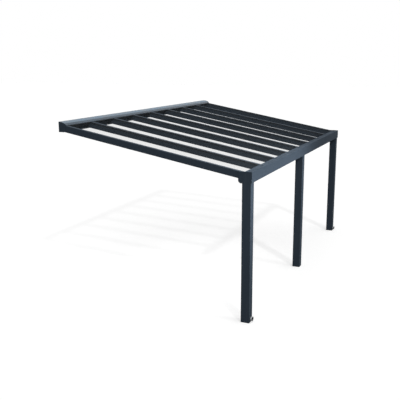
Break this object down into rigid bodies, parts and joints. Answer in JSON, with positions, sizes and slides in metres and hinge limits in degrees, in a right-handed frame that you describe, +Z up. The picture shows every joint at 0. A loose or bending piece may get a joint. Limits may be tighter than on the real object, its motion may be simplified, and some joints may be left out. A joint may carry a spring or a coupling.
{
  "type": "wall-mounted patio awning",
  "caption": "Lean-to patio awning of dark powder-coated aluminium with a clear panel roof, posts and a gutter beam; shades and shelters a terrace against a wall.",
  "frame": {"origin": "middle of the wall profile's flat back face", "axes": "+Z up, +X along the width, +Y into the wall; the gutter and the posts are toward -Y"},
  "size_m": [5.75, 3.282, 2.8696],
  "materials": {
    "post_metal": "dark blue-grey powder coat, fine texture",
    "gutter_metal": "dark blue-grey powder coat, fine texture",
    "cap_metal": "dark blue-grey powder coat, fine texture",
    "hood_metal": "dark blue-grey powder coat, fine texture",
    "wall_metal": "dark blue-grey powder coat, fine texture",
    "roof_metal": "dark blue-grey powder coat, fine texture",
    "panel_glass": "clear polished sheet",
    "pipe_plastic": "light grey extruded plastic pipe",
    "foot_steel": "dull galvanised steel plate"
  },
  "bodies": {
    "root": {"downpipe_left": "pipe_plastic", "downpipe_right": "pipe_plastic", "glazing_cover_1": "roof_metal", "glazing_cover_2": "roof_metal", "glazing_cover_3": "roof_metal", "glazing_cover_4": "roof_metal", "glazing_cover_5": "roof_metal", "glazing_cover_6": "roof_metal", "glazing_cover_7": "roof_metal", "glazing_cover_8": "roof_metal", "glazing_cover_9": "roof_metal", "gutter_beam": "gutter_metal", "gutter_end_cap_left": "cap_metal", "gutter_end_cap_right": "cap_metal", "panel_end_trims": "roof_metal", "post_foot_left": "foot_steel", "post_foot_middle": "foot_steel", "post_foot_right": "foot_steel", "post_left": "post_metal", "post_middle": "post_metal", "post_right": "post_metal", "rafter_1": "roof_metal", "rafter_2": "roof_metal", "rafter_3": "roof_metal", "rafter_4": "roof_metal", "rafter_5": "roof_metal", "rafter_6": "roof_metal", "rafter_7": "roof_metal", "roof_panel_1": "panel_glass", "roof_panel_2": "panel_glass", "roof_panel_3": "panel_glass", "roof_panel_4": "panel_glass", "roof_panel_5": "panel_glass", "roof_panel_6": "panel_glass", "roof_panel_7": "panel_glass", "roof_panel_8": "panel_glass", "side_rafter_left": "roof_metal", "side_rafter_right": "roof_metal", "wall_end_cap_left": "cap_metal", "wall_end_cap_right": "cap_metal", "wall_hood": "hood_metal", "wall_profile": "wall_metal"}
  },
  "joints": []
}
